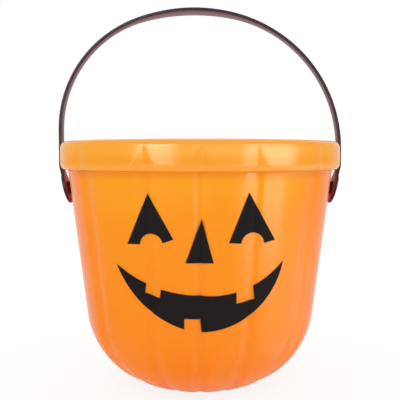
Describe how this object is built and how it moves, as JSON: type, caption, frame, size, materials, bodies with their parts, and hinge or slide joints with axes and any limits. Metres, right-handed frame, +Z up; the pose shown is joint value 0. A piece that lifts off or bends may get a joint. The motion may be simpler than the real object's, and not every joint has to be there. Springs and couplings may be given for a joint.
{
  "type": "pumpkin candy pail",
  "caption": "Lobed orange pail shaped like a pumpkin, with a bulging rim, a jack-o'-lantern face in black vinyl and a black strap handle that swings on snap rivets; holds sweets.",
  "frame": {"origin": "middle of the flat foot, on the surface the pail stands on", "axes": "+Z up through the mouth, -Y towards the face, +X along the handle's pivot to the right of the face as seen from the front"},
  "size_m": [0.1946, 0.1912, 0.255],
  "materials": {
    "pail_plastic": "satin orange polyethylene, slightly translucent, as blow moulded",
    "strap_plastic": "satin black polypropylene",
    "rivet_plastic": "satin black nylon",
    "face_vinyl": "matt black self-adhesive vinyl"
  },
  "bodies": {
    "pail": {"pail_shell": "pail_plastic", "left_eye": "face_vinyl", "right_eye": "face_vinyl", "nose": "face_vinyl", "mouth": "face_vinyl"},
    "handle": {"handle_strap": "strap_plastic", "left_handle_rivet": "rivet_plastic", "right_handle_rivet": "rivet_plastic"}
  },
  "joints": [
    {"name": "handle_swing", "type": "hinge", "parent": "pail", "child": "handle", "pos_m": [0, 0, 0.133], "axis": [1, 0, 0], "range_deg": [-130, 130]}
  ]
}
